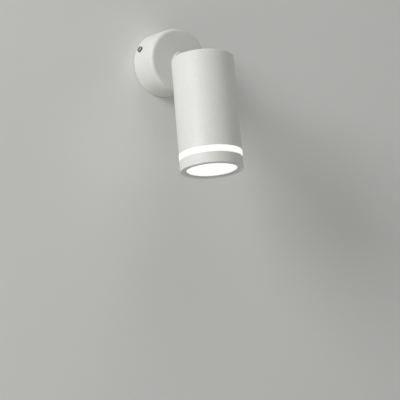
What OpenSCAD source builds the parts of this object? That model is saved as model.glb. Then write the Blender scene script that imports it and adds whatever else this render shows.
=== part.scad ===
// Adjustable spot wall light: a round canopy on the wall, a slotted swivel, and a
// cylindrical head with a lit acrylic ring and a reflector lamp with two locking pins.
// Millimetres. The wall is the plane Y = 0, the room is towards -Y, and +Z is up.
// The origin is the centre of the wall bracket's back face.

/* [Canopy] */
// Outer diameter of the canopy
canopy_d = 63.5; // [62:0.5:80]
// Distance from the wall to the canopy's front face
canopy_depth = 33; // [31:0.5:45]
// Thickness of the canopy's side wall
canopy_wall = 1.5; // [1.2:0.1:2]
// Thickness of the canopy's front
canopy_front = 2; // [1.5:0.1:3]
// Radius of the canopy's front edge
canopy_edge = 3.7; // [2.5:0.1:5]
// Dark gap between the canopy's rim and the wall
shadow_gap = 0.5; // [0.3:0.1:1.5]
// Direction of the left side screw, counted from +X towards +Z
side_screw_angle = 159; // [150:1:165]
// Distance of the side screws from the wall
side_screw_out = 9.5; // [8:0.1:11]

/* [Wall bracket] */
// Diameter of the bracket's plate
bracket_d = 54; // [52:0.5:55]
// Thickness of the bracket's sheet
bracket_t = 1.5; // [1:0.1:2]
// Distance between the two wall slots
wall_slot_spacing = 40; // [37:0.5:41]
// Width of a wall slot
wall_slot_w = 4.5; // [3.5:0.1:5]
// Length of a wall slot from end to end
wall_slot_l = 9; // [7:0.1:9.5]
// Diameter of the hole for the supply cable
cable_hole_d = 12; // [8:0.5:14]

/* [Swivel arm] */
// Diameter of the round foot that turns on the canopy
foot_d = 15; // [13:0.1:18]
// Thickness of the round foot
foot_t = 4; // [2.5:0.1:5]
// Diameter of the hollow spigot that passes through the canopy
spigot_d = 10; // [9:0.1:10.5]
// Bore of the hollow spigot, for the leads
spigot_bore_d = 6; // [5:0.1:6.5]
// Distance from the wall to the tilt pivot
pivot_out = 60; // [58:0.5:66]
// Drop from the canopy's centre to the tilt pivot
pivot_drop = 20.5; // [18:0.5:23]
// Thickness of the arm from side to side
arm_t = 7; // [6:0.1:8]
// Height of the arm's bar
arm_h = 9; // [8:0.1:10]
// Diameter of the arm's eye
eye_d = 13; // [12:0.1:14]
// Diameter of the pivot bolt
pivot_d = 4; // [3.5:0.1:4.5]

/* [Head] */
// Outer diameter of the head
head_d = 60; // [60:0.5:66]
// Wall thickness of the head's housing
head_wall = 2; // [1.5:0.1:2.2]
// Thickness of the housing's closed top
head_top_t = 2.5; // [2:0.1:3.5]
// Radius of the housing's top edge
head_edge = 2.5; // [1.5:0.1:4]
// Length of the painted housing, down to the acrylic ring
housing_l = 94.5; // [93:0.5:120]
// Height of the part of the acrylic ring that shows
ring_h = 6.5; // [4:0.1:12]
// Height of the end ring below the acrylic ring
bezel_h = 10.5; // [9:0.1:14]
// Outward tilt of the head in the stored pose, in degrees
tilt = 9; // [0:0.5:20]
// Distance of the tilt pivot in from the back of the head
hinge_inset = 12; // [11:0.1:13]
// Depth of the tilt pivot below the housing's top
hinge_depth = 13; // [12.5:0.1:14]

/* [Lamp] */
// Distance of the reflector lamp's rim in from the side of the head
lamp_inset = 5; // [5:0.1:6]
// Length of the lamp from its front to the shoulder that carries its pins
lamp_l = 50; // [48:0.1:50.5]
// Recess of the lamp's front behind the end ring
lamp_recess = 0.8; // [0.5:0.1:2]
// Distance between the lamp's two pins
pin_spacing = 10; // [9.5:0.1:10.5]
// Turn that unlocks the lamp, in degrees
lamp_turn = 30; // [20:1:35]
// Height of the ceramic lampholder
holder_h = 16; // [15:0.1:17]

/* [Fits] */
// Radial clearance of a pin that turns in its bore
run_fit = 0.05; // [0.02:0.01:0.1]
// Clearance between faces that turn on each other
face_fit = 0.05; // [0.02:0.01:0.1]
// Radial clearance of a spigot or screw that doesn't turn
slip_fit = 0.1; // [0.05:0.01:0.2]
// Open clearance between pieces that only pass each other
free_gap = 0.3; // [0.2:0.05:0.5]

/* [Hidden] */

$fn = 96;
small_fn = 32;
over = 1; // how far a cut runs past the face it opens

// Rounding of the edges where two pieces meet, which leaves a fine line between them
edge_break = 0.3;

// Canopy
canopy_r = canopy_d / 2;
canopy_in_r = canopy_r - canopy_wall;
canopy_floor = canopy_depth - canopy_front;
side_screw_r = 1.5;
side_screw_l = 8;
side_head_r = 3;
side_head_h = 2.2;
side_head_edge = 0.9;
cross_l = 3.2;
cross_w = 0.9;
cross_h = 1.3;
peg_r = 1.5;
peg_h = 2.6;
peg_at = 11.5;

// Wall bracket and what stands on it
ear_w = 12;
ear_h = side_screw_out + 5.5;
ear_bend = 1;
ear_face = sqrt(pow(canopy_in_r - free_gap, 2) - pow(ear_w / 2, 2));
earth_at = [-15.5, 15.5];
m4_r = 2;
m4_head_r = 3.6;
m4_head_h = 2.4;
earth_washer_t = 1;
pole_pitch = 8;
pole_w = 7.2;
pole_l = 14.5;
pole_h = 12;
pole_edge = 1.5;
pole_web_h = 7;
pole_wire_h = 4.2;
pole_at = -18.5;
insert_r = 1.9;
insert_bore_r = 1.35;
clamp_r = 1.25;
clamp_spread = 4;
clamp_sink = 1;
clamp_slot_w = 0.5;
clamp_slot_h = 0.8;
m25_r = 1.25;
m25_head_r = 2.2;
m25_head_h = 1.5;
m25_sink = 2;
insert_short = 1.5; // how much shorter than the block its brass inserts are
washer_rim = 0.9; // how far a washer reaches past its screw's head

// Swivel, in the plane of the arm
pan_washer_t = 0.5;
washer_inset = 0.4; // how far a washer stays inside the piece that it lies on
foot_back = canopy_depth + 2 * face_fit + pan_washer_t;
foot_front = foot_back + foot_t;
stop_washer_t = 1;
stop_washer_r = 8;
tab_w = 5;
tab_reach = 13.5;
spring_h = 1.2;
spring_t = 0.7;
nut_h = 4;
nut_flats = 14;
stop_washer_front = canopy_floor - face_fit;
spring_front = stop_washer_front - stop_washer_t;
nut_front = spring_front - spring_h;
spigot_end = nut_front - nut_h - 1;
bar_run = pivot_out - foot_front;
bar_angle = atan2(pivot_drop, bar_run);
bar_l = norm([pivot_drop, bar_run]);
arm_edge = 0.8;
groove_w = 4.6;
groove_top = 2;
groove_start = eye_d / 2 + 1.5;
foot_edge = 0.6;
neck_l = 4;
neck_r = 6.2;
neck_end_r = 3.8;
bore_past_foot = 2;

// Head, measured from the centre of the housing's top
head_r = head_d / 2;
head_in_r = head_r - head_wall;
head_in_edge = 1.5;
hinge_back = head_r - hinge_inset;
ring_top = -housing_l;
ring_bottom = ring_top - ring_h;
head_l = housing_l + ring_h + bezel_h;
tilt_min = 0;
tilt_max = 90;
slot_gap = 0.7;
slot_w = arm_t + 2 * slot_gap;
tilt_washer_t = 0.6;
tilt_washer_r = 5.5;
hinge_ear_in = arm_t / 2 + face_fit + tilt_washer_t;
hinge_sheet = 1.5;
hinge_bend = 0.8;
hinge_strip_w = 12;
hinge_boss_r = 3.5;
hinge_boss_h = 3;
hinge_flange_end = sqrt(pow(head_in_r - free_gap, 2) - pow(hinge_back + hinge_strip_w / 2, 2));
hinge_floor = hinge_depth + eye_d / 2 + 1;
m3_r = 1.5;
m3_head_r = 2.8;
m3_head_h = 2;
m3_tap_r = 1.6;
hinge_screw_at = hinge_flange_end - m3_head_r;
pivot_head_r = 3.5;
pivot_head_h = 4;
pivot_end = 0.8; // how far the bolt comes out of its nut
socket_d = 3.4;
socket_l = 2.2;
pivot_nut_flats = 7;
pivot_nut_h = 4;

// Lamp and its holder, measured from the centre of the housing's top
lamp_r = head_r - lamp_inset;
aperture_r = lamp_r + free_gap;
ring_in_r = lamp_r + 2 * free_gap;
lamp_front = -(head_l - lamp_recess);
lamp_shoulder = lamp_front + lamp_l;
lamp_rim_h = 4;
lens_r = lamp_r - 0.9;
lens_t = 2;
lens_seat = 1.2;
lens_sink = 0.6;
lens_dome = 1;
lamp_base_r = 11.5;
lamp_base_h = 12;
lamp_base_edge = 1.2;
lamp_belly_r = 17;
lamp_belly_at = 16;
pin_r = 1.5;
pin_head_r = 2.4;
pin_head_h = 2.4;
pin_l = 7.5;
holder_low = lamp_shoulder + free_gap;
holder_high = holder_low + holder_h;
holder_w = 28;
holder_d = 19;
holder_lip = 4.2;
holder_pocket_h = 9;
holder_screw_at = 10.8;
contact_t = 1.2;
contact_inset = 0.2;
holder_plate_t = 1.5;
holder_plate_r = head_in_r - free_gap;
plate_high = holder_high + holder_plate_t;
plate_boss_r = 3.5;
plate_screw_at = head_in_r - plate_boss_r - free_gap;
plate_tap_l = 9;
plate_window_r = 2.2;
earth_tag_at = holder_d / 2 + m3_r + 1.5;
holder_plate_half_w = earth_tag_at + m3_head_r + 2;
holder_screw_sink = 0.6;
spigot_l = 6;
bezel_lip_h = 3.4;
mouth_edge = 0.6;

// Leads, in millimetres, through round points chosen by hand
lead_r = 0.9;
lead_sides = 8;
lead_steps = 2;
lead_spread = 2.3;
lead_drop = 3;
wire_hole_r = 1.2;
trio = [[0, 1.3], [-1.1, -0.65], [1.1, -0.65]];

// Local +Z points out of the wall, and local +Y points up
module out_of_wall() {
    rotate([90, 0, 0]) children();
}

// Local X runs along world Y and local Y runs along world Z
module side_view() {
    rotate([90, 0, 90]) children();
}

// The head's own frame: origin at its top centre, +Z up its axis, +Y towards the wall
module in_head() {
    translate([0, -pivot_out, -pivot_drop])
        rotate([-tilt, 0, 0])
            translate([0, -hinge_back, hinge_depth])
                children();
}

// Half of a turned blank, with its outer corner rounded at the top, and at the bottom too
// where low_edge is given
module rounded_half(r, h, edge, low_edge = 0) {
    square([r - edge, h]);
    square([r - low_edge, h - edge]);
    translate([0, low_edge]) square([r, h - edge - low_edge]);
    translate([r - edge, h - edge]) circle(edge, $fn = small_fn);
    if (low_edge > 0) translate([r - low_edge, low_edge]) circle(low_edge, $fn = small_fn);
}

// A rectangle around the origin with round corners
module rounded_plate(w, h, edge) {
    square([w - 2 * edge, h], center = true);
    square([w, h - 2 * edge], center = true);
    for (x = [-1, 1]) for (y = [-1, 1])
        translate([x * (w / 2 - edge), y * (h / 2 - edge)]) circle(edge, $fn = small_fn);
}

// A strip bent once: down the right side and along the top of a w by h corner
module bent_strip(w, h, inner, t) {
    difference() {
        rounded_half(w, h, inner + t);
        translate([-over, -over]) rounded_half(w - t + over, h - t + over, inner);
    }
}

// A ring around the local Z axis
module ring(outer, inner, h) {
    difference() {
        cylinder(r = outer, h = h);
        translate([0, 0, -over]) cylinder(r = inner, h = h + 2 * over);
    }
}

// A slot with round ends along local X
module slot_shape(l, w) {
    for (side = [-1, 1]) translate([side * (l - w) / 2, 0]) circle(d = w, $fn = small_fn);
    square([l - w, w], center = true);
}

// A screw along local Z with its head above the origin and its shank below
module screw(shank_r, shank_l, head_r, head_h, slot_across = true) {
    difference() {
        union() {
            cylinder(r = head_r, h = head_h, $fn = small_fn);
            translate([0, 0, -shank_l]) cylinder(r = shank_r, h = shank_l + head_h / 2, $fn = small_fn);
        }
        if (slot_across)
            translate([0, 0, head_h]) cube([2 * head_r + over, head_r / 3, head_h], center = true);
    }
}

function unit(v) = v / norm(v);
function curve_point(a, b, c, d, t) =
    0.5 * (2 * b + (c - a) * t + (2 * a - 5 * b + 4 * c - d) * t * t
        + (3 * b - a - 3 * c + d) * t * t * t);
function smooth_path(p) = concat(
    [for (i = [0 : len(p) - 2]) for (k = [0 : lead_steps - 1])
        curve_point(p[max(i - 1, 0)], p[i], p[i + 1], p[min(i + 2, len(p) - 1)], k / lead_steps)],
    [p[len(p) - 1]]);

// An insulated lead swept along a smooth curve through the points
module lead(points, side = [1, 0, 0]) {
    path = smooth_path(points);
    last = len(path) - 1;
    ends = [unit(points[1] - points[0]), unit(points[len(points) - 1] - points[len(points) - 2])];
    rings = [for (i = [0 : last])
        let (along = i == 0 ? ends[0] : i == last ? ends[1] : unit(path[i + 1] - path[i - 1]),
             across = unit(cross(along, side)),
             third = cross(along, across))
        for (k = [0 : lead_sides - 1])
            path[i] + lead_r * (cos(360 * k / lead_sides) * across + sin(360 * k / lead_sides) * third)];
    sides = [for (i = [0 : last - 1]) for (k = [0 : lead_sides - 1])
        let (n = (k + 1) % lead_sides, a = i * lead_sides, b = a + lead_sides)
        each [[a + k, a + n, b + n], [a + k, b + n, b + k]]];
    caps = [[for (k = [lead_sides - 1 : -1 : 0]) k],
        [for (k = [0 : lead_sides - 1]) last * lead_sides + k]];
    polyhedron(points = rings, faces = [for (f = concat(sides, caps)) [for (k = [len(f) - 1 : -1 : 0]) f[k]]]);
}

// Directions of the two side screws, opposite each other
module at_side_screws() {
    for (turn = [0, 180]) rotate([0, 0, side_screw_angle + turn]) children();
}

// An ear bent up from the plate's edge, with the tapped hole for a side screw
module bracket_ear() {
    root = bracket_d / 2 - ear_w / 2;
    difference() {
        rotate([90, 0, 0]) linear_extrude(ear_w, center = true)
            translate([root, ear_h]) mirror([0, 1]) bent_strip(ear_face - root, ear_h, ear_bend, bracket_t);
        translate([ear_face - 2 * bracket_t, 0, side_screw_out]) rotate([0, 90, 0])
            cylinder(r = side_screw_r + run_fit, h = 3 * bracket_t, $fn = small_fn);
    }
}

module wall_bracket() {
    color("silver") out_of_wall() {
        difference() {
            cylinder(d = bracket_d, h = bracket_t);
            translate([0, 0, -over]) cylinder(d = cable_hole_d, h = bracket_t + 2 * over);
            for (side = [-1, 1]) translate([side * wall_slot_spacing / 2, 0, -over])
                linear_extrude(bracket_t + 2 * over) slot_shape(wall_slot_l, wall_slot_w);
            translate([earth_at[0], earth_at[1], -over])
                cylinder(r = m4_r + run_fit, h = bracket_t + 2 * over, $fn = small_fn);
            translate([pole_pitch / 2, pole_at, -over])
                cylinder(r = m25_r + run_fit, h = bracket_t + 2 * over, $fn = small_fn);
        }
        at_side_screws() bracket_ear();
    }
}

module earth_washer() {
    color("gold") out_of_wall() translate([earth_at[0], earth_at[1], bracket_t])
        ring(m4_head_r + washer_rim, m4_r + slip_fit, earth_washer_t);
}

module earth_screw() {
    color("gold") out_of_wall() translate([earth_at[0], earth_at[1], bracket_t + earth_washer_t])
        screw(m4_r, bracket_t + earth_washer_t, m4_head_r, m4_head_h);
}

// The three poles of the terminal block, with the wires running along local Y
module each_pole() {
    for (i = [-1 : 1]) translate([i * pole_pitch, pole_at, bracket_t]) children();
}

module terminal_housing() {
    color("white") out_of_wall() difference() {
        union() {
            each_pole() rotate([90, 0, 0]) linear_extrude(pole_l, center = true) {
                translate([-pole_w / 2, 0]) square([pole_w, pole_h - pole_edge]);
                translate([-pole_w / 2 + pole_edge, 0]) square([pole_w - 2 * pole_edge, pole_h]);
                for (side = [-1, 1]) translate([side * (pole_w / 2 - pole_edge), pole_h - pole_edge])
                    circle(pole_edge, $fn = small_fn);
            }
            translate([-pole_pitch, pole_at - pole_l / 4, bracket_t])
                cube([2 * pole_pitch, pole_l / 2, pole_web_h]);
        }
        each_pole() translate([0, 0, pole_wire_h]) rotate([90, 0, 0])
            cylinder(r = insert_r + slip_fit, h = pole_l + over, center = true, $fn = small_fn);
        each_pole() for (side = [-1, 1]) translate([0, side * clamp_spread, pole_wire_h])
            cylinder(r = clamp_r + 2 * slip_fit, h = pole_h, $fn = small_fn);
        translate([pole_pitch / 2, pole_at, 0]) {
            cylinder(r = m25_r + slip_fit, h = pole_h, $fn = small_fn);
            translate([0, 0, bracket_t + pole_web_h - m25_sink])
                cylinder(r = m25_head_r + 2 * slip_fit, h = pole_h, $fn = small_fn);
        }
    }
}

module terminal_inserts() {
    color("gold") out_of_wall() each_pole() translate([0, 0, pole_wire_h]) difference() {
        rotate([90, 0, 0]) cylinder(r = insert_r, h = pole_l - insert_short, center = true, $fn = small_fn);
        rotate([90, 0, 0]) cylinder(r = insert_bore_r, h = pole_l, center = true, $fn = small_fn);
        for (side = [-1, 1]) translate([0, side * clamp_spread, 0])
            cylinder(r = clamp_r + slip_fit, h = pole_h, $fn = small_fn);
    }
}

module terminal_screws() {
    clamp_l = pole_h - pole_wire_h - insert_bore_r;
    color("silver") out_of_wall() each_pole() for (side = [-1, 1])
        translate([0, side * clamp_spread, pole_wire_h + insert_bore_r]) difference() {
            cylinder(r = clamp_r, h = clamp_l - clamp_sink, $fn = small_fn);
            translate([0, 0, clamp_l - clamp_sink])
                cube([3 * clamp_r, clamp_slot_w, 2 * clamp_slot_h], center = true);
        }
}

module terminal_fixing_screw() {
    color("silver") out_of_wall() translate([pole_pitch / 2, pole_at, bracket_t + pole_web_h - m25_sink])
        screw(m25_r, pole_web_h - m25_sink + bracket_t, m25_head_r, m25_head_h);
}

module canopy() {
    color("whitesmoke") out_of_wall() difference() {
        union() {
            rotate_extrude() difference() {
                translate([0, shadow_gap])
                    rounded_half(canopy_r, canopy_depth - shadow_gap, canopy_edge, edge_break);
                translate([0, shadow_gap - over])
                    rounded_half(canopy_in_r, canopy_floor - shadow_gap + over, canopy_edge - canopy_wall);
                translate([0, -over]) square([spigot_d / 2 + run_fit, canopy_depth + 2 * over]);
            }
            translate([0, peg_at, canopy_floor - peg_h])
                cylinder(r = peg_r, h = peg_h + canopy_front / 2, $fn = small_fn);
        }
        at_side_screws() translate([canopy_in_r - over, 0, side_screw_out]) rotate([0, 90, 0])
            cylinder(r = side_screw_r + 2 * slip_fit, h = canopy_wall + 2 * over, $fn = small_fn);
    }
}

// Pan-head screws with a cross recess, through the canopy's side holes into the tapped ears
module canopy_screws() {
    color("silver") out_of_wall() at_side_screws()
        translate([canopy_r, 0, side_screw_out]) rotate([0, 90, 0]) difference() {
            union() {
                rotate_extrude($fn = small_fn) rounded_half(side_head_r, side_head_h, side_head_edge);
                translate([0, 0, -side_screw_l])
                    cylinder(r = side_screw_r, h = side_screw_l + side_head_h / 2, $fn = small_fn);
            }
            for (turn = [0, 90]) translate([0, 0, side_head_h]) rotate([0, 0, turn])
                cube([cross_l, cross_w, 2 * cross_h], center = true);
        }
}

// One lead from its terminal to the mouth of the hollow spigot
module canopy_lead(pole, spot) {
    start_z = pole_at + pole_l / 2 - 1.2;
    wire_y = -(bracket_t + pole_wire_h);
    end_y = -(spigot_end - free_gap);
    lead([
        [pole * pole_pitch, wire_y, start_z],
        [pole * pole_pitch, wire_y, start_z + 4],
        [pole * pole_pitch * 0.8 + spot[0] * 0.2, wire_y - 3, start_z + 8.6],
        [pole * pole_pitch * 0.3 + spot[0] * 0.7, end_y + 8, spot[1] + 1],
        [spot[0], end_y + 3, spot[1]],
        [spot[0], end_y, spot[1]]
    ]);
}

module canopy_lead_live() {
    color("saddlebrown") canopy_lead(-1, trio[1]);
}

module canopy_lead_neutral() {
    color("royalblue") canopy_lead(1, trio[2]);
}

module canopy_lead_earth() {
    color("yellowgreen") canopy_lead(0, trio[0]);
}

// The cast arm: a hollow spigot, a round foot, a sloping bar with a groove for the leads
// under it, and the eye that the pivot bolt passes through
module swivel_arm() {
    color("whitesmoke") difference() {
        union() {
            out_of_wall() {
                translate([0, 0, spigot_end]) cylinder(d = spigot_d, h = foot_back - spigot_end + over);
                translate([0, 0, foot_back]) rotate_extrude() rounded_half(foot_d / 2, foot_t, foot_edge);
                translate([0, 0, foot_front - over]) cylinder(r1 = neck_r, r2 = neck_end_r, h = neck_l + over);
            }
            difference() {
                translate([0, -pivot_out, -pivot_drop]) rotate([bar_angle - 90, 0, 0])
                    linear_extrude(bar_l + arm_h) rounded_plate(arm_t, arm_h, arm_edge);
                translate([-canopy_r, -foot_back - foot_t / 2, -canopy_r])
                    cube([canopy_d, canopy_depth, canopy_d]);
            }
            translate([-arm_t / 2, -pivot_out, -pivot_drop]) rotate([0, 90, 0])
                rotate_extrude() rounded_half(eye_d / 2, arm_t, arm_edge, arm_edge);
        }
        out_of_wall() translate([0, 0, spigot_end - over])
            cylinder(d = spigot_bore_d, h = foot_front - spigot_end + over + bore_past_foot, $fn = 48);
        side_view() linear_extrude(groove_w, center = true) intersection() {
            translate([-pivot_out, -pivot_drop]) rotate(bar_angle)
                translate([groove_start, -arm_h]) square([bar_l, arm_h + groove_top]);
            translate([-pivot_out, -canopy_r]) square([pivot_out - foot_front, canopy_d]);
        }
        translate([0, -pivot_out, -pivot_drop]) rotate([0, 90, 0])
            cylinder(r = pivot_d / 2 + run_fit, h = arm_t + 2 * over, center = true, $fn = 48);
    }
}

module pan_friction_washer() {
    color("dimgray") out_of_wall() translate([0, 0, canopy_depth + face_fit])
        ring(foot_d / 2 - washer_inset, spigot_d / 2 + slip_fit, pan_washer_t);
}

// Flat washer whose tab meets the canopy's peg before the leads can twist round twice
module pan_stop_washer() {
    color("silver") out_of_wall() translate([0, 0, spring_front]) difference() {
        union() {
            cylinder(r = stop_washer_r, h = stop_washer_t);
            translate([-tab_w / 2, -tab_reach, 0]) cube([tab_w, tab_reach, stop_washer_t]);
        }
        translate([0, 0, -over]) cylinder(r = spigot_d / 2 + slip_fit, h = stop_washer_t + 2 * over);
    }
}

// Dished spring washer that keeps the pan friction
module pan_spring_washer() {
    inner = spigot_d / 2 + slip_fit;
    outer = stop_washer_r - washer_inset;
    color("gray") out_of_wall() translate([0, 0, nut_front]) rotate_extrude()
        polygon([[inner, 0], [outer, spring_h - spring_t], [outer, spring_h], [inner, spring_t]]);
}

module pan_nut() {
    color("silver") out_of_wall() translate([0, 0, nut_front - nut_h]) difference() {
        cylinder(d = nut_flats / cos(30), h = nut_h, $fn = 6);
        translate([0, 0, -over]) cylinder(r = spigot_d / 2 + slip_fit, h = nut_h + 2 * over);
    }
}

// The leads on the arm: through the spigot's bore, then along the groove under the bar
module arm_leads() {
    lift = groove_top - lead_r - free_gap - trio[0][1];
    function on_bar(s, spot) = [spot[0],
        -pivot_out + s * cos(bar_angle) - (lift + spot[1]) * sin(bar_angle),
        -pivot_drop + s * sin(bar_angle) + (lift + spot[1]) * cos(bar_angle)];
    for (i = [0 : 2]) color(["yellowgreen", "saddlebrown", "royalblue"][i]) lead([
        [trio[i][0], -spigot_end, trio[i][1]],
        [trio[i][0], -(spigot_end + 5), trio[i][1]],
        [trio[i][0], -(foot_front - 4), trio[i][1]],
        [trio[i][0], -foot_front, trio[i][1] - 0.8],
        on_bar(bar_l - 4, trio[i]),
        on_bar(bar_l - 9, trio[i]),
        on_bar(groove_start + 5, trio[i]),
        on_bar(groove_start + 1, trio[i])
    ]);
}

// The wedge that the arm's bar sweeps through the housing between the two ends of the tilt
module arm_sweep() {
    reach = 2 * head_r;
    half = arm_h / 2 + free_gap;
    low = bar_angle + tilt_min;
    high = bar_angle + tilt_max;
    translate([hinge_back, -hinge_depth]) polygon([
        [half * sin(low), -half * cos(low)],
        [half * sin(low) + reach * cos(low), -half * cos(low) + reach * sin(low)],
        [reach * 1.5, reach * 1.5],
        [-reach * 1.5, reach * 1.5],
        [-half * sin(high) + reach * cos(high), half * cos(high) + reach * sin(high)],
        [-half * sin(high), half * cos(high)]
    ]);
}

// One-piece housing: tube, closed top with a filleted edge, the arm's slot through the
// top and the wall behind it, and the screw bosses inside
module head_housing() {
    color("whitesmoke") in_head() difference() {
        union() {
            translate([0, 0, -housing_l]) rotate_extrude() difference() {
                rounded_half(head_r, housing_l, head_edge, edge_break);
                translate([0, -over]) rounded_half(head_in_r, housing_l - head_top_t + over, head_in_edge);
            }
            for (side = [-1, 1]) {
                translate([side * hinge_screw_at, hinge_back, -head_top_t - hinge_boss_h])
                    cylinder(r = hinge_boss_r, h = hinge_boss_h + head_top_t / 2, $fn = small_fn);
                intersection() {
                    translate([side * plate_screw_at, 0, plate_high]) {
                        cylinder(r = plate_boss_r, h = -plate_high - head_top_t / 2, $fn = small_fn);
                        translate([side > 0 ? 0 : -plate_boss_r - head_wall, -plate_boss_r, 0])
                            cube([plate_boss_r + head_wall, 2 * plate_boss_r, -plate_high - head_top_t / 2]);
                    }
                    translate([0, 0, plate_high]) cylinder(r = head_r - head_wall / 2, h = -plate_high);
                }
            }
        }
        side_view() linear_extrude(slot_w, center = true) arm_sweep();
        for (side = [-1, 1]) {
            translate([side * hinge_screw_at, hinge_back, -head_top_t - hinge_boss_h - over])
                cylinder(r = m3_tap_r, h = hinge_boss_h + over + 1, $fn = small_fn);
            translate([side * plate_screw_at, 0, plate_high - over])
                cylinder(r = m3_tap_r, h = plate_tap_l + over, $fn = small_fn);
        }
    }
}

// One side of the hinge bracket: half its floor, an ear, and the flange under a boss
module hinge_bracket_half() {
    flange_high = -head_top_t - hinge_boss_h;
    ear_out = hinge_ear_in + hinge_sheet;
    ear_low = -hinge_floor - hinge_sheet;
    bend_from = -hinge_depth - pivot_d;
    bend_to = -hinge_depth + pivot_d;
    translate([0, bend_to]) mirror([0, 1]) bent_strip(ear_out, bend_to - ear_low, hinge_bend, hinge_sheet);
    translate([hinge_flange_end, bend_from]) mirror([1, 0])
        bent_strip(hinge_flange_end - hinge_ear_in, flange_high - bend_from, hinge_bend, hinge_sheet);
}

module hinge_bracket() {
    color("silver") in_head() difference() {
        translate([0, hinge_back, 0]) rotate([90, 0, 0]) linear_extrude(hinge_strip_w, center = true) {
            hinge_bracket_half();
            mirror([1, 0]) hinge_bracket_half();
        }
        translate([0, hinge_back, -hinge_depth]) rotate([0, 90, 0])
            cylinder(r = pivot_d / 2 + run_fit, h = head_in_r, center = true, $fn = 48);
        for (side = [-1, 1]) translate([side * hinge_screw_at, hinge_back, -hinge_floor])
            cylinder(r = m3_r + slip_fit, h = hinge_floor, $fn = small_fn);
    }
}

module hinge_screws() {
    color("gray") in_head() for (side = [-1, 1])
        translate([side * hinge_screw_at, hinge_back, -head_top_t - hinge_boss_h - hinge_sheet])
            mirror([0, 0, 1]) screw(m3_r, hinge_sheet + hinge_boss_h, m3_head_r, m3_head_h);
}

module tilt_friction_washers() {
    color("dimgray") in_head() for (side = [-1, 1])
        translate([side * (hinge_ear_in - tilt_washer_t / 2), hinge_back, -hinge_depth]) rotate([0, 90, 0])
            translate([0, 0, -tilt_washer_t / 2]) ring(tilt_washer_r, pivot_d / 2 + slip_fit, tilt_washer_t);
}

// Socket-head bolt along X, through both ears, both washers and the eye
module pivot_bolt() {
    ear_out = hinge_ear_in + hinge_sheet;
    color("gray") in_head() translate([0, hinge_back, -hinge_depth]) rotate([0, 90, 0]) difference() {
        union() {
            translate([0, 0, -ear_out - pivot_head_h]) cylinder(r = pivot_head_r, h = pivot_head_h, $fn = small_fn);
            translate([0, 0, -ear_out - over])
                cylinder(d = pivot_d, h = 2 * ear_out + pivot_nut_h + over + pivot_end, $fn = 48);
        }
        translate([0, 0, -ear_out - pivot_head_h - over]) cylinder(d = socket_d, h = socket_l + over, $fn = 6);
    }
}

module pivot_nut() {
    color("silver") in_head() translate([hinge_ear_in + hinge_sheet, hinge_back, -hinge_depth])
        rotate([0, 90, 0]) difference() {
            cylinder(d = pivot_nut_flats / cos(30), h = pivot_nut_h, $fn = 6);
            translate([0, 0, -over]) cylinder(r = pivot_d / 2 + slip_fit, h = pivot_nut_h + 2 * over, $fn = small_fn);
        }
}

// Flat plate across the head, under the two long bosses, that carries the lampholder
module holder_plate() {
    color("silver") in_head() translate([0, 0, holder_high]) difference() {
        intersection() {
            cylinder(r = holder_plate_r, h = holder_plate_t);
            cube([4 * head_r, 2 * holder_plate_half_w, 4 * holder_plate_t], center = true);
        }
        for (side = [-1, 1]) {
            translate([side * plate_screw_at, 0, -over])
                cylinder(r = m3_r + slip_fit, h = holder_plate_t + 2 * over, $fn = small_fn);
            translate([side * pin_spacing / 2, 0, -over])
                cylinder(r = plate_window_r, h = holder_plate_t + 2 * over, $fn = small_fn);
            translate([side * holder_screw_at, 0, -over])
                cylinder(r = m3_r + run_fit, h = holder_plate_t + 2 * over, $fn = small_fn);
        }
        translate([0, earth_tag_at, -over])
            cylinder(r = m3_r + run_fit, h = holder_plate_t + 2 * over, $fn = small_fn);
    }
}

module holder_plate_screws() {
    color("gray") in_head() for (side = [-1, 1]) translate([side * plate_screw_at, 0, holder_high])
        mirror([0, 0, 1]) screw(m3_r, holder_plate_t + plate_tap_l - 1, m3_head_r, m3_head_h);
}

// An arc round the lamp's axis, as wide as a pin and as long as its turn, with a round end
module pin_path(r, low, h) {
    translate([0, 0, low]) {
        rotate([0, 0, -lamp_turn]) rotate_extrude(angle = lamp_turn)
            translate([pin_spacing / 2 - r, 0]) square([2 * r, h]);
        translate([pin_spacing / 2, 0, 0]) cylinder(r = r, h = h, $fn = small_fn);
    }
}

// Ceramic block with two bayonet slots: an entry hole, a narrow arc, and a wide pocket behind
module lampholder() {
    color("ivory") in_head() difference() {
        translate([0, 0, holder_low]) intersection() {
            cylinder(d = holder_w, h = holder_h);
            translate([-holder_w / 2, -holder_d / 2, 0]) cube([holder_w, holder_d, holder_h]);
        }
        for (side = [0, 180]) rotate([0, 0, side]) {
            pin_path(pin_r + free_gap, holder_low - over, holder_lip + 2 * over);
            pin_path(pin_head_r + free_gap, holder_low + holder_lip, holder_pocket_h - holder_lip);
            rotate([0, 0, -lamp_turn]) translate([pin_spacing / 2, 0, holder_low - over])
                cylinder(r = pin_head_r + free_gap + slip_fit, h = holder_pocket_h + over - 0.5, $fn = small_fn);
        }
        for (side = [-1, 1]) {
            translate([side * pin_spacing / 2, 0, holder_low + holder_pocket_h - over])
                cylinder(r = wire_hole_r, h = holder_h, $fn = small_fn);
            translate([side * holder_screw_at, 0, holder_low - over])
                cylinder(r = m3_r + slip_fit, h = holder_h + 2 * over, $fn = small_fn);
            translate([side * holder_screw_at, 0, holder_low - over])
                cylinder(r = m3_head_r + slip_fit, h = m3_head_h + holder_screw_sink + over, $fn = small_fn);
        }
    }
}

module lampholder_screws() {
    under_head = m3_head_h + holder_screw_sink;
    color("gray") in_head() for (side = [-1, 1])
        translate([side * holder_screw_at, 0, holder_low + under_head])
            mirror([0, 0, 1]) screw(m3_r, holder_h - under_head + holder_plate_t, m3_head_r, m3_head_h);
}

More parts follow.
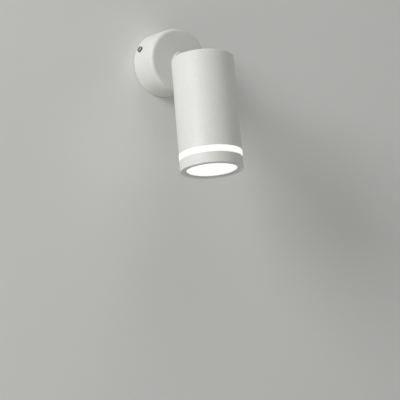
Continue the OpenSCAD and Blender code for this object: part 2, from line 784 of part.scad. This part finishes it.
// Brass contact plates on the pockets' roofs, above the pins' ends
module lampholder_contacts() {
    color("gold") in_head() for (side = [-1, 1])
        translate([side * pin_spacing / 2, 0, holder_low + holder_pocket_h - contact_t])
            cylinder(r = pin_head_r - contact_inset, h = contact_t, $fn = small_fn);
}

// One lead inside the head, from behind the hinge bracket down to its contact
module head_lead(side_x, spot_x) {
    top_z = -hinge_depth - lead_drop;
    back_y = head_in_r - 2;
    lead([
        [spot_x, back_y, top_z],
        [spot_x, back_y, top_z - 6],
        [spot_x * 1.5, back_y - 2, top_z - 14],
        [side_x * 0.9, 8, plate_high + 7],
        [side_x, 0.6, plate_high + 3],
        [side_x, 0, holder_high],
        [side_x, 0, holder_low + holder_pocket_h]
    ]);
}

module head_lead_live() {
    color("saddlebrown") in_head() head_lead(-pin_spacing / 2, -lead_spread);
}

module head_lead_neutral() {
    color("royalblue") in_head() head_lead(pin_spacing / 2, lead_spread);
}

// The earth lead ends on the plate, under its own screw
module head_lead_earth() {
    top_z = -hinge_depth - lead_drop;
    back_y = head_in_r - 1.6;
    color("yellowgreen") in_head() lead([
        [0, back_y, top_z],
        [0, back_y, top_z - 8],
        [0, back_y - 2, top_z - 16],
        [0, 20.5, plate_high + 3],
        [0, 18, plate_high + lead_r + 0.2],
        [0, earth_tag_at + m3_head_r + 0.2, plate_high + lead_r + 0.2]
    ]);
}

module earth_tag_screw() {
    color("gold") in_head() translate([0, earth_tag_at, plate_high])
        screw(m3_r, holder_plate_t, m3_head_r, m3_head_h);
}

// Acrylic ring: the middle shows, and a spigot above and below fits the painted pieces
module light_ring() {
    spigot_r = head_in_r - slip_fit;
    color("white") in_head() translate([0, 0, ring_bottom - spigot_l]) rotate_extrude() difference() {
        union() {
            square([spigot_r, ring_h + 2 * spigot_l]);
            translate([0, spigot_l]) rounded_half(head_r, ring_h, edge_break, edge_break);
        }
        translate([0, -over]) square([ring_in_r, ring_h + 2 * spigot_l + 2 * over]);
    }
}

module bezel() {
    color("whitesmoke") in_head() mirror([0, 0, 1]) translate([0, 0, -ring_bottom]) rotate_extrude() difference() {
        rounded_half(head_r, bezel_h, mouth_edge, edge_break);
        translate([0, -over]) square([head_in_r, bezel_h - bezel_lip_h + over]);
        translate([0, -over]) square([aperture_r, bezel_h + 2 * over]);
    }
}

// Lamp body: a turned shell that swells from the pin base to the front rim
module lamp_body() {
    body_low = lamp_front + lamp_rim_h;
    belly_low = body_low + lamp_belly_at;
    base_low = lamp_shoulder - lamp_base_h;
    color("white") in_head() rotate_extrude() {
        translate([0, base_low]) rounded_half(lamp_base_r, lamp_base_h, lamp_base_edge);
        polygon([[0, body_low], [lamp_r - 0.8, body_low], [lamp_r - 2.6, body_low + 6],
            [lamp_belly_r + 2.2, belly_low - 4], [lamp_belly_r, belly_low],
            [lamp_base_r + 1.5, base_low], [lamp_base_r - 1, base_low + 2], [0, base_low + 2]]);
    }
}

module lamp_rim() {
    color("whitesmoke") in_head() translate([0, 0, lamp_front]) rotate_extrude() difference() {
        rounded_half(lamp_r, lamp_rim_h, edge_break, edge_break);
        translate([0, -over]) square([lens_r + slip_fit, lens_sink + lens_t + over]);
        translate([0, -over]) square([lens_r - lens_seat, lamp_rim_h + 2 * over]);
    }
}

// Front glass: a flat disc whose outer face swells a little, set in the rim
module lamp_lens() {
    dome_r = (pow(lens_r, 2) + pow(lens_dome, 2)) / (2 * lens_dome);
    color("white") in_head() translate([0, 0, lamp_front + lens_sink]) rotate_extrude() intersection() {
        translate([0, -lens_dome]) square([lens_r, lens_t + lens_dome]);
        translate([0, dome_r - lens_dome]) circle(dome_r, $fn = 1440);
    }
}

module lamp_pins() {
    color("silver") in_head() for (side = [-1, 1]) translate([side * pin_spacing / 2, 0, lamp_shoulder]) {
        cylinder(r = pin_r, h = pin_l, $fn = small_fn);
        translate([0, 0, pin_l - pin_head_h]) cylinder(r = pin_head_r, h = pin_head_h, $fn = small_fn);
    }
}

wall_bracket();
earth_screw();
earth_washer();
terminal_housing();
terminal_inserts();
terminal_screws();
terminal_fixing_screw();
canopy();
canopy_screws();
canopy_lead_live();
canopy_lead_neutral();
canopy_lead_earth();
swivel_arm();
pan_friction_washer();
pan_stop_washer();
pan_spring_washer();
pan_nut();
arm_leads();
head_housing();
hinge_bracket();
hinge_screws();
tilt_friction_washers();
pivot_bolt();
pivot_nut();
holder_plate();
holder_plate_screws();
lampholder();
lampholder_screws();
lampholder_contacts();
head_lead_live();
head_lead_neutral();
head_lead_earth();
earth_tag_screw();
light_ring();
bezel();
lamp_body();
lamp_rim();
lamp_lens();
lamp_pins();
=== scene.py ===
import math

import bpy
import numpy as np
from mathutils import Matrix, Vector

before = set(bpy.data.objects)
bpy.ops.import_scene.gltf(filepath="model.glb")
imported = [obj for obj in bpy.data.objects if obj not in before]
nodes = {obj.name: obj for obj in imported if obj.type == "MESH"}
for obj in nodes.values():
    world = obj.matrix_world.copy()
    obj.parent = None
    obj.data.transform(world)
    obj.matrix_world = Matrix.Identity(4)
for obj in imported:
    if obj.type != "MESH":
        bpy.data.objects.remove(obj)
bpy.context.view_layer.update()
scene = bpy.context.scene
print("frame loaded:", len(nodes), "nodes")

noiseBlob = 0.6  # metres across one blob of a noise texture whose scale is 1


def linear(hexColour):
    # sRGB hex to linear: the low part is a straight line, the rest a 2.4 power
    value = np.array([int(hexColour[i:i + 2], 16) / 255 for i in (1, 3, 5)])
    out = np.where(value <= 0.04045, value / 12.92, ((value + 0.055) / 1.055) ** 2.4)
    return (*out.tolist(), 1.0)


def darker(hexColour, share):
    # the same colour with its linear light scaled down
    return (*(light * share for light in linear(hexColour)[:3]), 1.0)


def addNode(tree, kind, inputs=None, out=None, stops=None, **settings):
    # adds one node: its settings, then each input as a value or a link, and a ramp's stops
    # gives back the node, or the output that out names
    node = tree.nodes.new(kind)
    for name, value in settings.items():
        setattr(node, name, value)
    for name, value in (inputs or {}).items():
        if isinstance(value, bpy.types.NodeSocket):
            tree.links.new(value, node.inputs[name])
        else:
            node.inputs[name].default_value = value
    if stops:
        points = node.color_ramp.elements
        while len(points) < len(stops):
            points.new(0.5)
        for point, (position, grey) in zip(points, stops):
            point.position = position
            point.color = (grey, grey, grey, 1)
    return node.outputs[out] if out else node


def newMaterial(name):
    # an empty material with its shader, and the object's own coordinates for its patterns
    material = bpy.data.materials.new(name)
    material.use_nodes = True
    tree = material.node_tree
    tree.nodes.clear()
    shader = addNode(tree, "ShaderNodeBsdfPrincipled")
    addNode(tree, "ShaderNodeOutputMaterial", {"Surface": shader.outputs["BSDF"]})
    where = addNode(tree, "ShaderNodeTexCoord", out="Object")
    return material, tree, shader, where


paint = {
    "colour": "#E2E2DF",
    "deepColour": "#D8D8D5",     # where the coat lies thicker
    "armColour": "#DFDFDC",
    "armDeepColour": "#D6D6D3",
    "roughness": 0.51,           # before the grain, where nobody touched it
    "peel": 0.0024,              # waves of the coat, drawn coarser than the real 1 mm so that they show
    "peelHeight": 0.00005,
    "grit": 0.0006,              # the coat's fine grain, drawn twice as coarse as the real 0.3 mm
    "gritHeight": 0.000018,
    "gritGloss": 0.16,           # how far the grain spreads the roughness
    "pitShade": 0.93,            # how much painted shade darkens the pits between the grains
    "cloud": 0.022,              # slow change of the coat's thickness
    "touch": 0.009,              # patches where handling left the skin glossier
    "touchGloss": -0.09,
    "dust": "#CBC9C3",
    "dustFrom": 0.55,            # how much upwards a face looks before dust stays on it
    "dustShare": 0.3,            # how much of the dust's colour such a face gets
}


def powderCoat(name, colour, deepColour):
    # polyester powder coat, baked: a matt skin with a soft orange peel, fine grain and a little dust on top
    material, tree, shader, where = newMaterial(name)
    wave = addNode(tree, "ShaderNodeTexNoise", {
        "Vector": where, "Scale": noiseBlob / paint["peel"], "Detail": 1.5, "Roughness": 0.4}, "Fac")
    grain = addNode(tree, "ShaderNodeTexNoise", {
        "Vector": where, "Scale": noiseBlob / paint["grit"], "Detail": 2.5, "Roughness": 0.6}, "Fac")
    cloud = addNode(tree, "ShaderNodeTexNoise", {
        "Vector": where, "Scale": noiseBlob / paint["cloud"], "Detail": 4.0, "Roughness": 0.6}, "Fac")
    touch = addNode(tree, "ShaderNodeTexNoise", {
        "Vector": where, "Scale": noiseBlob / paint["touch"], "Detail": 5.0, "Roughness": 0.65}, "Fac")
    skin = addNode(tree, "ShaderNodeMix", {
        "Factor": cloud, "A": linear(deepColour), "B": linear(colour)}, "Result", data_type="RGBA")
    # painted shade: the pits between the grains are drawn darker
    pits = addNode(tree, "ShaderNodeValToRGB", {"Fac": grain}, "Color", [
        (0.34, paint["pitShade"]), (0.56, 1.0)])
    pitted = addNode(tree, "ShaderNodeMix", {
        "Factor": 1.0, "A": skin, "B": pits}, "Result", data_type="RGBA", blend_type="MULTIPLY")
    # dust lies where the surface looks up, thinner in patches
    normal = addNode(tree, "ShaderNodeNewGeometry", out="Normal")
    upward = addNode(tree, "ShaderNodeSeparateXYZ", {"Vector": normal}, "Z")
    settled = addNode(tree, "ShaderNodeMapRange", {
        "Value": upward, "From Min": paint["dustFrom"], "From Max": 1.0,
        "To Max": paint["dustShare"]}, "Result")
    dusty = addNode(tree, "ShaderNodeMath", {0: settled, 1: cloud}, "Value", operation="MULTIPLY")
    shade = addNode(tree, "ShaderNodeMix", {
        "Factor": dusty, "A": pitted, "B": linear(paint["dust"])}, "Result", data_type="RGBA")
    tree.links.new(shade, shader.inputs["Base Color"])
    # gloss: the grain breaks it up, and handled patches are smoother
    touched = addNode(tree, "ShaderNodeValToRGB", {"Fac": touch}, "Color", [(0.42, 0.0), (0.62, 1.0)])
    gloss = addNode(tree, "ShaderNodeMath", {
        0: touched, 1: paint["touchGloss"], 2: paint["roughness"]}, "Value", operation="MULTIPLY_ADD")
    rough = addNode(tree, "ShaderNodeMath", {
        0: grain, 1: paint["gritGloss"], 2: gloss}, "Value", operation="MULTIPLY_ADD")
    tree.links.new(rough, shader.inputs["Roughness"])
    peel = addNode(tree, "ShaderNodeBump", {
        "Strength": 0.6, "Distance": paint["peelHeight"], "Height": wave}, "Normal")
    fine = addNode(tree, "ShaderNodeBump", {
        "Strength": 0.7, "Distance": paint["gritHeight"], "Height": grain, "Normal": peel}, "Normal")
    tree.links.new(fine, shader.inputs["Normal"])
    return material


metal = {
    # colour, roughness, and width of the patches that differ in brightness
    "zinc": ("#BCBFC2", 0.34, 0.0035),
    "screwHead": ("#A6A9AD", 0.38, 0.0012),
    "spring": ("#77787A", 0.4, 0.0035),
    "brass": ("#C9A566", 0.3, 0.0015),
    "nickel": ("#C6C3BC", 0.2, 0.001),
}
# painted shade: a near-black laid into the screws' recesses and round the foot of their heads, where shade
# falls, mixed with a driver's dirt
recessDirtAndShade = {
    "colour": "#2A2A2B",   # painted shade in the recess and round the head's foot, mixed with the oil and dust that a driver leaves in a screw
    "share": 0.92,
    "low": 0.0327,         # distance from the canopy's axis: full painted shade and dirt below this
    "high": 0.0336,        # and none above this, on the head's crown
}


def metalFinish(name, colour, roughness, patchWidth, shadeRecess=False):
    # plated or plain metal: small patches differ in brightness and gloss, as crystals and handling leave them
    material, tree, shader, where = newMaterial(name)
    patch = addNode(tree, "ShaderNodeTexNoise", {
        "Vector": where, "Scale": noiseBlob / patchWidth, "Detail": 4.0, "Roughness": 0.6}, "Fac")
    shade = addNode(tree, "ShaderNodeMix", {
        "Factor": patch, "A": darker(colour, 0.78), "B": linear(colour)}, "Result", data_type="RGBA")
    if shadeRecess:
        # painted shade with some dirt: the recess and the foot lie nearer to the canopy's axis, which is Y,
        # than the crown does, and are drawn dark
        across = addNode(tree, "ShaderNodeVectorMath", {0: where, 1: (1, 0, 1)}, "Vector", operation="MULTIPLY")
        reach = addNode(tree, "ShaderNodeVectorMath", {0: across}, "Value", operation="LENGTH")
        dirtAndShade = addNode(tree, "ShaderNodeMapRange", {
            "Value": reach, "From Min": recessDirtAndShade["low"], "From Max": recessDirtAndShade["high"],
            "To Min": recessDirtAndShade["share"], "To Max": 0.0}, "Result")
        shade = addNode(tree, "ShaderNodeMix", {
            "Factor": dirtAndShade, "A": shade, "B": linear(recessDirtAndShade["colour"])}, "Result", data_type="RGBA")
    tree.links.new(shade, shader.inputs["Base Color"])
    rough = addNode(tree, "ShaderNodeMapRange", {
        "Value": patch, "From Min": 0.25, "From Max": 0.75,
        "To Min": roughness + 0.1, "To Max": roughness - 0.06}, "Result")
    tree.links.new(rough, shader.inputs["Roughness"])
    crystal = addNode(tree, "ShaderNodeTexNoise", {
        "Vector": where, "Scale": noiseBlob / (patchWidth / 6), "Detail": 2.0}, "Fac")
    fine = addNode(tree, "ShaderNodeBump", {"Strength": 0.3, "Distance": 0.00001, "Height": crystal}, "Normal")
    tree.links.new(fine, shader.inputs["Normal"])
    shader.inputs["Metallic"].default_value = 1.0
    return material


moulded = {
    # colour, roughness, mottling, and width and height of the grain
    "polyamide": ("#E3E1D8", 0.45, 0.05, 0.0004, 0.00001),
    "filledNylon": ("#26262A", 0.55, 0.05, 0.0004, 0.00001),
    "steatite": ("#DEDACD", 0.62, 0.06, 0.0005, 0.00003),
    "lampRim": ("#DADAD7", 0.4, 0.05, 0.0004, 0.00001),
    "reflectorGlass": ("#C9CBCD", 0.25, 0.03, 0.0008, 0.00001),
    "glassFibre": ("#D8D4C6", 0.7, 0.08, 0.0005, 0.00006),
}


def mouldedSkin(name, colour, roughness, mottle, grain, height):
    # injection-moulded plastic or pressed clay: nearly even colour, and the mould's fine grain
    material, tree, shader, where = newMaterial(name)
    cloud = addNode(tree, "ShaderNodeTexNoise", {
        "Vector": where, "Scale": noiseBlob / 0.004, "Detail": 4.0, "Roughness": 0.6}, "Fac")
    shade = addNode(tree, "ShaderNodeMix", {
        "Factor": cloud, "A": darker(colour, 1 - 2 * mottle), "B": linear(colour)}, "Result", data_type="RGBA")
    tree.links.new(shade, shader.inputs["Base Color"])
    fleck = addNode(tree, "ShaderNodeTexNoise", {
        "Vector": where, "Scale": noiseBlob / grain, "Detail": 2.0}, "Fac")
    rough = addNode(tree, "ShaderNodeMapRange", {
        "Value": fleck, "To Min": roughness - 0.06, "To Max": roughness + 0.06}, "Result")
    tree.links.new(rough, shader.inputs["Roughness"])
    fine = addNode(tree, "ShaderNodeBump", {"Strength": 0.5, "Distance": height, "Height": fleck}, "Normal")
    tree.links.new(fine, shader.inputs["Normal"])
    return material


insulation = {
    "brown": "#5F3A22",
    "blue": "#27589C",
    "green": "#3F8F3A",
    "yellow": "#D9C83A",
}


def leadSkin(name, colour, stripe=None):
    # extruded insulation: smooth and softly glossy, cloudy in one colour or in two halves along an earth lead
    material, tree, shader, where = newMaterial(name)
    if stripe:
        across = addNode(tree, "ShaderNodeSeparateXYZ", {"Vector": where}, "X")
        share = addNode(tree, "ShaderNodeMath", {0: across, 1: 0.0}, "Value", operation="GREATER_THAN")
    else:
        share = addNode(tree, "ShaderNodeTexNoise", {
            "Vector": where, "Scale": noiseBlob / 0.002, "Detail": 3.0}, "Fac")
    other = linear(stripe) if stripe else darker(colour, 0.86)
    shade = addNode(tree, "ShaderNodeMix", {
        "Factor": share, "A": other, "B": linear(colour)}, "Result", data_type="RGBA")
    tree.links.new(shade, shader.inputs["Base Color"])
    fleck = addNode(tree, "ShaderNodeTexNoise", {"Vector": where, "Scale": noiseBlob / 0.0008}, "Fac")
    rough = addNode(tree, "ShaderNodeMapRange", {"Value": fleck, "To Min": 0.28, "To Max": 0.4}, "Result")
    tree.links.new(rough, shader.inputs["Roughness"])
    return material


headAxis = {
    "tilt": 9.0,                           # outward lean of the head, in degrees
    "top": (0.0, -0.0757447, -0.0048442),  # centre of the housing's top
}


def alongHead(tree, where):
    # object coordinates turned into the head's own frame: Z runs up its axis from the centre of its top
    centred = addNode(tree, "ShaderNodeVectorMath", {
        0: where, 1: headAxis["top"]}, "Vector", operation="SUBTRACT")
    turn = (math.radians(headAxis["tilt"]), 0, 0)
    return addNode(tree, "ShaderNodeMapping", {"Vector": centred, "Rotation": turn}, "Vector")


ringLight = {
    "colour": "#FFFFFC",
    "strength": 0.9,       # just under white, so that the ring looks no thicker than it is
    "edgeShare": 0.8,      # light at the band's two edges
    "high": -0.0945,       # where the visible band ends, along the head's axis
    "low": -0.101,
    "body": "#7C7D7B",     # what the cloudy acrylic reflects by itself
    "fleck": 0.0006,       # the satin frosting's grain
}


def litAcrylic(name):
    # satin-frosted acrylic, lit from inside: brightest half-way, a little dimmer where it enters its seats
    material, tree, shader, where = newMaterial(name)
    height = addNode(tree, "ShaderNodeSeparateXYZ", {"Vector": alongHead(tree, where)}, "Z")
    share = addNode(tree, "ShaderNodeMapRange", {
        "Value": height, "From Min": ringLight["low"], "From Max": ringLight["high"]}, "Result")
    edge = ringLight["edgeShare"]
    glow = addNode(tree, "ShaderNodeValToRGB", {"Fac": share}, "Color", [
        (0.0, edge), (0.16, 0.97), (0.5, 1.0), (0.84, 0.97), (1.0, edge)])
    strength = addNode(tree, "ShaderNodeMath", {
        0: glow, 1: ringLight["strength"]}, "Value", operation="MULTIPLY")
    tree.links.new(strength, shader.inputs["Emission Strength"])
    shader.inputs["Emission Color"].default_value = linear(ringLight["colour"])
    shader.inputs["Base Color"].default_value = linear(ringLight["body"])
    shader.inputs["IOR"].default_value = 1.49
    fleck = addNode(tree, "ShaderNodeTexNoise", {
        "Vector": where, "Scale": noiseBlob / ringLight["fleck"], "Detail": 2.0}, "Fac")
    rough = addNode(tree, "ShaderNodeMapRange", {"Value": fleck, "To Min": 0.36, "To Max": 0.48}, "Result")
    tree.links.new(rough, shader.inputs["Roughness"])
    fine = addNode(tree, "ShaderNodeBump", {"Strength": 0.4, "Distance": 0.00001, "Height": fleck}, "Normal")
    tree.links.new(fine, shader.inputs["Normal"])
    return material


lensLight = {
    "colour": "#FFFFFC",
    "strength": 1.12,
    "edgeShare": 0.74,     # light at the lens's rim
    "radius": 0.0241,
    "lenslet": 0.0032,     # width of one pressed lenslet
    "seamShare": 0.8,      # light along the seams between the lenslets
    "seamReach": 0.3,      # how far a seam fades into its lenslet, in lenslets
    "domeHeight": 0.0003,
    "body": "#7C7E80",
    "fleck": 0.0009,
}


def litLens(name):
    # pressed borosilicate front glass with small lenslets, lit from behind: brightest in the middle
    material, tree, shader, where = newMaterial(name)
    flat = addNode(tree, "ShaderNodeVectorMath", {
        0: alongHead(tree, where), 1: (1, 1, 0)}, "Vector", operation="MULTIPLY")
    reach = addNode(tree, "ShaderNodeVectorMath", {0: flat}, "Value", operation="LENGTH")
    share = addNode(tree, "ShaderNodeMapRange", {"Value": reach, "From Max": lensLight["radius"]}, "Result")
    glow = addNode(tree, "ShaderNodeValToRGB", {"Fac": share}, "Color", [
        (0.0, 1.0), (0.7, 0.94), (1.0, lensLight["edgeShare"])])
    cells = addNode(tree, "ShaderNodeTexVoronoi", {
        "Vector": flat, "Scale": 1 / lensLight["lenslet"], "Randomness": 0.15,
    }, "Distance", voronoi_dimensions="2D", feature="DISTANCE_TO_EDGE")
    seam = addNode(tree, "ShaderNodeMapRange", {
        "Value": cells, "From Max": lensLight["seamReach"], "To Min": lensLight["seamShare"]}, "Result")
    lit = addNode(tree, "ShaderNodeMath", {0: glow, 1: seam}, "Value", operation="MULTIPLY")
    strength = addNode(tree, "ShaderNodeMath", {
        0: lit, 1: lensLight["strength"]}, "Value", operation="MULTIPLY")
    tree.links.new(strength, shader.inputs["Emission Strength"])
    shader.inputs["Emission Color"].default_value = linear(lensLight["colour"])
    shader.inputs["Base Color"].default_value = linear(lensLight["body"])
    shader.inputs["IOR"].default_value = 1.47
    fleck = addNode(tree, "ShaderNodeTexNoise", {
        "Vector": where, "Scale": noiseBlob / lensLight["fleck"], "Detail": 2.0}, "Fac")
    rough = addNode(tree, "ShaderNodeMapRange", {"Value": fleck, "To Min": 0.1, "To Max": 0.22}, "Result")
    tree.links.new(rough, shader.inputs["Roughness"])
    domes = addNode(tree, "ShaderNodeBump", {
        "Strength": 0.5, "Distance": lensLight["domeHeight"], "Height": seam}, "Normal")
    tree.links.new(domes, shader.inputs["Normal"])
    return material


# each finish and the nodes that wear it
finishes = [
    # white polyester powder on aluminium tube and on the arm's casting: matt, with a faint orange peel
    (powderCoat("powderCoatedAluminium", paint["colour"], paint["deepColour"]),
     ["canopy", "head_housing", "bezel"]),
    (powderCoat("powderCoatedCasting", paint["armColour"], paint["armDeepColour"]), ["swivel_arm"]),
    # bright zinc on pressed sheet and turned steel: cool grey with soft crystal patches
    (metalFinish("zincPlatedSteel", *metal["zinc"]), [
        "wall_bracket", "terminal_screws", "terminal_fixing_screw", "pan_stop_washer", "pan_nut",
        "hinge_bracket", "hinge_screws", "pivot_bolt", "pivot_nut", "holder_plate", "holder_plate_screws",
        "lampholder_screws"]),
    # zinc screws with painted shade and some dirt in their recesses and round the foot of their heads
    (metalFinish("zincScrewShadedRecess", *metal["screwHead"], shadeRecess=True), ["canopy_screws"]),
    # phosphated spring steel: dark and dull
    (metalFinish("phosphatedSpringSteel", *metal["spring"]), ["pan_spring_washer"]),
    # turned brass for what carries earth and current: warm, with small patches
    (metalFinish("turnedBrass", *metal["brass"]), [
        "earth_screw", "earth_washer", "terminal_inserts", "lampholder_contacts", "earth_tag_screw"]),
    (metalFinish("nickelPlatedPin", *metal["nickel"]), ["lamp_pins"]),
    (mouldedSkin("mouldedPolyamide", *moulded["polyamide"]), ["terminal_housing"]),
    # glass-filled nylon washers: nearly black and dry
    (mouldedSkin("filledNylon", *moulded["filledNylon"]), ["pan_friction_washer", "tilt_friction_washers"]),
    # unglazed steatite: chalky, with a grain that a fingertip feels
    (mouldedSkin("pressedSteatite", *moulded["steatite"]), ["lampholder"]),
    (mouldedSkin("mouldedLampRim", *moulded["lampRim"]), ["lamp_rim"]),
    (mouldedSkin("pressedReflectorGlass", *moulded["reflectorGlass"]), ["lamp_body"]),
    (mouldedSkin("glassFibreSleeve", *moulded["glassFibre"]), ["arm_leads"]),
    (leadSkin("brownInsulation", insulation["brown"]), ["canopy_lead_live", "head_lead_live"]),
    (leadSkin("blueInsulation", insulation["blue"]), ["canopy_lead_neutral", "head_lead_neutral"]),
    (leadSkin("greenYellowInsulation", insulation["green"], insulation["yellow"]),
     ["canopy_lead_earth", "head_lead_earth"]),
    (litAcrylic("frostedAcrylic"), ["light_ring"]),
    (litLens("pressedFrontGlass"), ["lamp_lens"]),
]
for material, worn in finishes:
    for name in worn:
        for holder in nodes[name].material_slots:
            holder.material = material
bare = sorted(set(nodes) - {name for material, worn in finishes for name in worn})
print("finishes made:", len(finishes), "- nodes without one:", bare)

stageSizes = {
    "wallHalf": 0.6,       # half the wall's width
    "holeRadius": 0.028,   # opening behind the canopy, so that the bracket's back is lit from behind
    "holeCorners": 128,
    "floorLevel": -0.7,
    "floorHalf": 25.0,
    "wallColour": "#ECECEA",
    "floorColour": "#DDDDDA",
    "backdrop": "#E9E9E7",
    "floorLift": 0.82,     # share of the floor's look that is the backdrop's colour, not the lamps' light
    "ambient": 0.12,       # light that comes from all round
}


def stagePiece(name, points, faces, material):
    mesh = bpy.data.meshes.new(name)
    mesh.from_pydata(points, [], faces)
    mesh.materials.append(material)
    piece = bpy.data.objects.new(name, mesh)
    scene.collection.objects.link(piece)


def backdropWall(material):
    # a flat ring: an angle runs round it, and its rim goes from the small round hole out to a square,
    # whose reach at each angle is its half width over the larger of the cosine and the sine
    corners = stageSizes["holeCorners"]
    angle = np.linspace(0, 2 * np.pi, corners + 1)[:-1]
    square = stageSizes["wallHalf"] / np.maximum(np.abs(np.cos(angle)), np.abs(np.sin(angle)))
    reach = np.stack([np.full_like(angle, stageSizes["holeRadius"]), square])
    x, z = reach * np.cos(angle), np.maximum(reach * np.sin(angle), stageSizes["floorLevel"])
    points = np.stack([x, np.zeros_like(x), z], -1).reshape(-1, 3)
    first = np.arange(corners)
    after = (first + 1) % corners
    faces = np.stack([first, first + corners, after + corners, after], 1)
    stagePiece("backWall", points.tolist(), faces.tolist(), material)


def stageFloor(material):
    half, low = stageSizes["floorHalf"], stageSizes["floorLevel"]
    points = [(-half, -half, low), (half, -half, low), (half, half, low), (-half, half, low)]
    stagePiece("stageFloor", points, [(0, 1, 2, 3)], material)


def stagePaint(name, colour):
    # matt emulsion: hardly any gloss
    material, tree, shader, where = newMaterial(name)
    shader.inputs["Base Color"].default_value = linear(colour)
    shader.inputs["Roughness"].default_value = 0.9
    shader.inputs["Specular IOR Level"].default_value = 0.1
    return material, tree, shader


def wallPaint():
    # painted plaster, which isn't drawn when it is looked at from behind
    material, tree, shader = stagePaint("paintedPlaster", stageSizes["wallColour"])
    back = addNode(tree, "ShaderNodeNewGeometry", out="Backfacing")
    camera = addNode(tree, "ShaderNodeLightPath", out="Is Camera Ray")
    both = addNode(tree, "ShaderNodeMath", {0: back, 1: camera}, "Value", operation="MULTIPLY")
    clear = addNode(tree, "ShaderNodeBsdfTransparent", out="BSDF")
    mixed = addNode(tree, "ShaderNodeMixShader", {"Fac": both, 1: shader.outputs["BSDF"], 2: clear}, "Shader")
    tree.links.new(mixed, tree.nodes["Material Output"].inputs["Surface"])
    return material


def looking(tree):
    # 1 for rays that look at the backdrop, straight or by way of metal and glass, 0 for rays that only light
    path = addNode(tree, "ShaderNodeLightPath")
    seen = addNode(tree, "ShaderNodeMath", {
        0: path.outputs["Is Camera Ray"], 1: path.outputs["Is Glossy Ray"]}, "Value", operation="ADD")
    return addNode(tree, "ShaderNodeMath", {
        0: seen, 1: path.outputs["Is Transmission Ray"]}, "Value", operation="ADD", use_clamp=True)


def floorPaint():
    # pale matt floor: the camera sees it lifted towards the backdrop's colour, and it keeps its shadows
    material, tree, shader = stagePaint("paleFloor", stageSizes["floorColour"])
    share = addNode(tree, "ShaderNodeMath", {
        0: looking(tree), 1: stageSizes["floorLift"]}, "Value", operation="MULTIPLY")
    pale = addNode(tree, "ShaderNodeEmission", {"Color": linear(stageSizes["backdrop"])}, "Emission")
    mixed = addNode(tree, "ShaderNodeMixShader", {"Fac": share, 1: shader.outputs["BSDF"], 2: pale}, "Shader")
    tree.links.new(mixed, tree.nodes["Material Output"].inputs["Surface"])
    return material


def softRoom():
    # even light from all round, and the backdrop's colour for rays that look at it
    world = bpy.data.worlds.new("softRoom")
    world.use_nodes = True
    tree = world.node_tree
    tree.nodes.clear()
    ambient = addNode(tree, "ShaderNodeBackground", {
        "Color": linear("#FFFFFF"), "Strength": stageSizes["ambient"]}, "Background")
    shown = addNode(tree, "ShaderNodeBackground", {
        "Color": linear(stageSizes["backdrop"]), "Strength": 1.0}, "Background")
    mixed = addNode(tree, "ShaderNodeMixShader", {"Fac": looking(tree), 1: ambient, 2: shown}, "Shader")
    addNode(tree, "ShaderNodeOutputWorld", {"Surface": mixed})
    return world


backdropWall(wallPaint())
stageFloor(floorPaint())
scene.world = softRoom()

lampAim = Vector((0, -0.06, -0.05))
lamps = {
    # towards the lamp as azimuth and elevation in degrees, its distance and width, and its share of full light
    "keyLeft": {"azimuth": -75, "elevation": 20, "distance": 2.8, "width": 1.2, "share": 0.75},
    "fillRight": {"azimuth": 76, "elevation": 12, "distance": 2.8, "width": 1.8, "share": 0.12},
    "topSoft": {"azimuth": -10, "elevation": 60, "distance": 2.4, "width": 1.6, "share": 0.18},
}


def direction(azimuth, elevation):
    # unit vector at an azimuth counted from the front towards +X, and an elevation, both in degrees
    around, above = math.radians(azimuth), math.radians(elevation)
    return Vector((math.sin(around) * math.cos(above), -math.cos(around) * math.cos(above), math.sin(above)))


for name, lamp in lamps.items():
    towards = direction(lamp["azimuth"], lamp["elevation"])
    data = bpy.data.lights.new(name, "AREA")
    data.size = lamp["width"]
    # at a share of 1 a surface that faces the lamp renders its colour as written
    data.energy = lamp["share"] * math.pi ** 2 * lamp["distance"] ** 2
    light = bpy.data.objects.new(name, data)
    light.location = lampAim + towards * lamp["distance"]
    light.rotation_euler = towards.to_track_quat("Z", "Y").to_euler()
    scene.collection.objects.link(light)
print("stage and lamps made")

shot = {
    "azimuth": -32.21,
    "elevation": -6.57,
    "roll": 0.15,
    "distance": 1.8,
    "lens": 163.59,        # on a 36 mm sensor
    "aimRight": 0.03811,   # where the middle of the frame lies beside and above the origin
    "aimUp": -0.13304,
}
back = direction(shot["azimuth"], shot["elevation"])
heading, roll = math.radians(shot["azimuth"]), math.radians(shot["roll"])
level = Vector((math.cos(heading), math.sin(heading), 0))
plumb = back.cross(level)
right = level * math.cos(roll) + plumb * math.sin(roll)
up = plumb * math.cos(roll) - level * math.sin(roll)
cameraData = bpy.data.cameras.new("photoCamera")
cameraData.sensor_width = 36
cameraData.lens = shot["lens"]
camera = bpy.data.objects.new("photoCamera", cameraData)
turned = Matrix((right, up, back)).transposed().to_4x4()
turned.translation = right * shot["aimRight"] + up * shot["aimUp"] + back * shot["distance"]
camera.matrix_world = turned
scene.collection.objects.link(camera)
scene.camera = camera
scene.view_settings.view_transform = "Standard"
print("camera placed")
